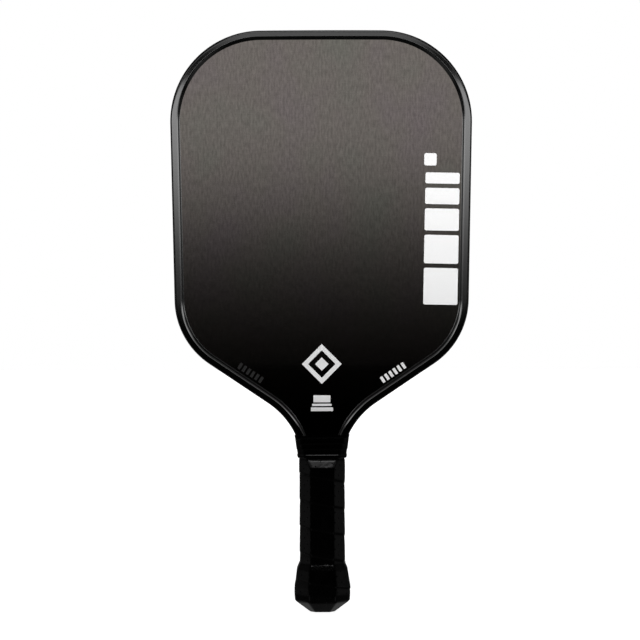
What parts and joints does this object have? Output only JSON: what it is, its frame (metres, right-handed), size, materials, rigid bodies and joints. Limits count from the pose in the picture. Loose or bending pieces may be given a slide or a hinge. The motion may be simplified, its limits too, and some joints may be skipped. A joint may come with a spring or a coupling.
{
  "type": "pickleball paddle",
  "caption": "Sandwich-panel pickleball paddle with a moulded edge guard, ribbed collar and wrapped octagonal handle.",
  "frame": {"origin": "centre of the butt end's flat, on the paddle's long axis", "axes": "+Z from the butt end to the top of the blade, -Y out of the front hitting face, +X to the right as seen from the front"},
  "size_m": [0.2058, 0.0386, 0.3965],
  "materials": {
    "polypropylene": "satin natural",
    "epoxy_film": "clear amber",
    "glass_laminate": "translucent laminate",
    "carbon_laminate": "peel-ply texture",
    "white_ink": "screen print",
    "dark_ink": "tonal screen print",
    "guard_plastic": "moulded, semi-gloss",
    "foam_tape": "bonding tape",
    "pallet_foam": "rigid foam",
    "cap_plastic": "moulded, fine grain",
    "badge_plastic": "plain, satin",
    "staple_steel": "bright wire",
    "grip_polyurethane": "perforated synthetic leather",
    "finishing_tape": "adhesive vinyl",
    "collar_rubber": "moulded, ribbed"
  },
  "bodies": {
    "root": {"honeycomb_core": "polypropylene", "front_bond_film": "epoxy_film", "rear_bond_film": "epoxy_film", "front_inner_ply": "glass_laminate", "rear_inner_ply": "glass_laminate", "front_face_sheet": "carbon_laminate", "rear_face_sheet": "carbon_laminate", "front_white_print": "white_ink", "rear_white_print": "white_ink", "front_dark_print": "dark_ink", "rear_dark_print": "dark_ink", "edge_guard": "guard_plastic", "edge_guard_tape": "foam_tape", "front_handle_pallet": "pallet_foam", "rear_handle_pallet": "pallet_foam", "butt_cap": "cap_plastic", "butt_cap_badge": "badge_plastic", "butt_cap_staples": "staple_steel", "base_grip": "grip_polyurethane", "grip_finishing_tape": "finishing_tape", "grip_collar": "collar_rubber"}
  },
  "joints": []
}
